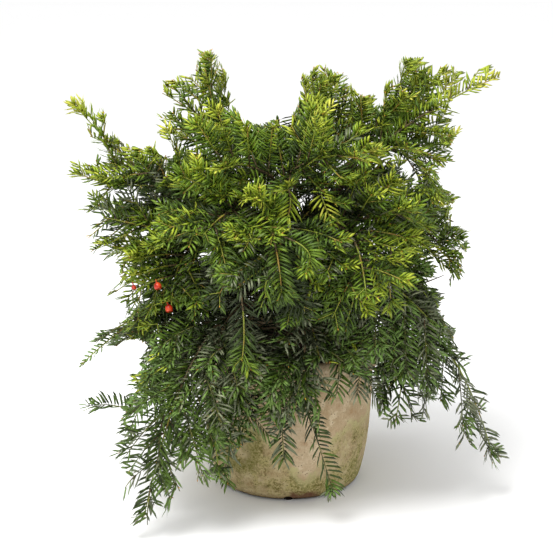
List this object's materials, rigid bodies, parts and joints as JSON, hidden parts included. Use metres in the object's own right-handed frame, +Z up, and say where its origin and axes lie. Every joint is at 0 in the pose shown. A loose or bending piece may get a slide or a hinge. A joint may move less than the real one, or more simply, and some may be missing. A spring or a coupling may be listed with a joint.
{
  "type": "potted english yew",
  "caption": "English yew grown as a spreading, weeping shrub with dense sprays of flat needles, standing in a round weathered clay pot.",
  "frame": {"origin": "centre of the pot's flat underside, on the axis of the pot", "axes": "+Z up along the pot's axis; -Y towards the viewer of the reference picture, the side with the fuller weeping foliage; +X to the viewer's right"},
  "size_m": [0.5851, 0.4928, 0.615],
  "materials": {
    "clay": "matte, weathered, with algae and lime bloom",
    "soil": "rough, moist compost",
    "bark": "rough, scaly",
    "needles_bright": "satin, yellow-green to mid green",
    "needles_shade": "satin, dark green"
  },
  "bodies": {
    "root": {"bough_back_left": "bark", "bough_back_right": "bark", "bough_front_left": "bark", "bough_front_middle": "bark", "bough_front_right": "bark", "bough_left_high": "bark", "bough_left_middle": "bark", "bough_low_back_left": "bark", "bough_low_back_right": "bark", "bough_low_front": "bark", "bough_low_front_left": "bark", "bough_low_left": "bark", "bough_low_right": "bark", "bough_right_high": "bark", "bough_right_low": "bark", "bough_right_middle": "bark", "bough_top_back": "bark", "bough_top_front": "bark", "bough_top_left": "bark", "bough_top_right": "bark", "foliage_back_left": "needles_bright", "foliage_back_middle_left": "needles_bright", "foliage_back_middle_right": "needles_bright", "foliage_back_right": "needles_bright", "foliage_centre_spire": "needles_bright", "foliage_front_left": "needles_bright", "foliage_front_middle": "needles_bright", "foliage_front_right": "needles_bright", "foliage_left_front": "needles_bright", "foliage_left_hang": "needles_bright", "foliage_left_spire": "needles_bright", "foliage_left_tip": "needles_bright", "foliage_left_upper": "needles_bright", "foliage_low_left_arch": "needles_shade", "foliage_low_left_hang": "needles_shade", "foliage_low_left_reach": "needles_shade", "foliage_right_arm": "needles_bright", "foliage_right_front": "needles_bright", "foliage_right_hang": "needles_bright", "foliage_right_low": "needles_shade", "foliage_right_middle": "needles_bright", "foliage_top_back_left": "needles_bright", "foliage_top_back_right": "needles_bright", "foliage_top_front_left": "needles_bright", "foliage_top_front_right": "needles_bright", "foliage_top_left": "needles_bright", "foliage_top_right": "needles_bright", "foliage_weep_back": "needles_shade", "foliage_weep_back_left": "needles_shade", "foliage_weep_back_right": "needles_shade", "foliage_weep_front_left": "needles_shade", "foliage_weep_front_middle": "needles_shade", "foliage_weep_front_right": "needles_shade", "foliage_weep_left": "needles_shade", "foliage_weep_right": "needles_shade", "foliage_weep_right_front": "needles_shade", "pot": "clay", "soil": "soil", "trunk": "bark"}
  },
  "joints": []
}
